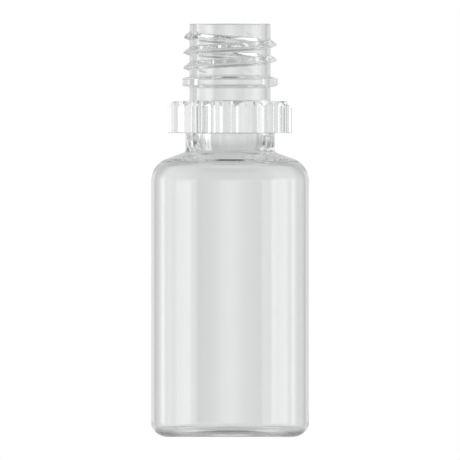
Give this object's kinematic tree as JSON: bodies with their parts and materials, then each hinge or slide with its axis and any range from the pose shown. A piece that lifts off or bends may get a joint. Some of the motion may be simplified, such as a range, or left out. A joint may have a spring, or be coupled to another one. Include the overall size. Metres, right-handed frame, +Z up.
{
  "type": "eye drop bottle",
  "caption": "Small clear bottle with a round body, sloping shoulder, and open neck with screw thread, retaining bead and sawtooth ratchet ring; no cap or dropper.",
  "frame": {"origin": "centre of the standing ring, on the surface that the bottle stands on", "axes": "+Z up along the bottle's axis, out of the mouth; +X to the right in the picture, which looks along +Y"},
  "size_m": [0.022, 0.022, 0.0576],
  "materials": {
    "clear_plastic": "clear, glossy, as blown and moulded"
  },
  "bodies": {
    "root": {"base": "clear_plastic", "side_wall_tube": "clear_plastic", "shoulder": "clear_plastic", "neck_base": "clear_plastic", "neck_tube": "clear_plastic", "screw_thread": "clear_plastic", "retaining_bead": "clear_plastic", "ratchet_ring": "clear_plastic"}
  },
  "joints": []
}
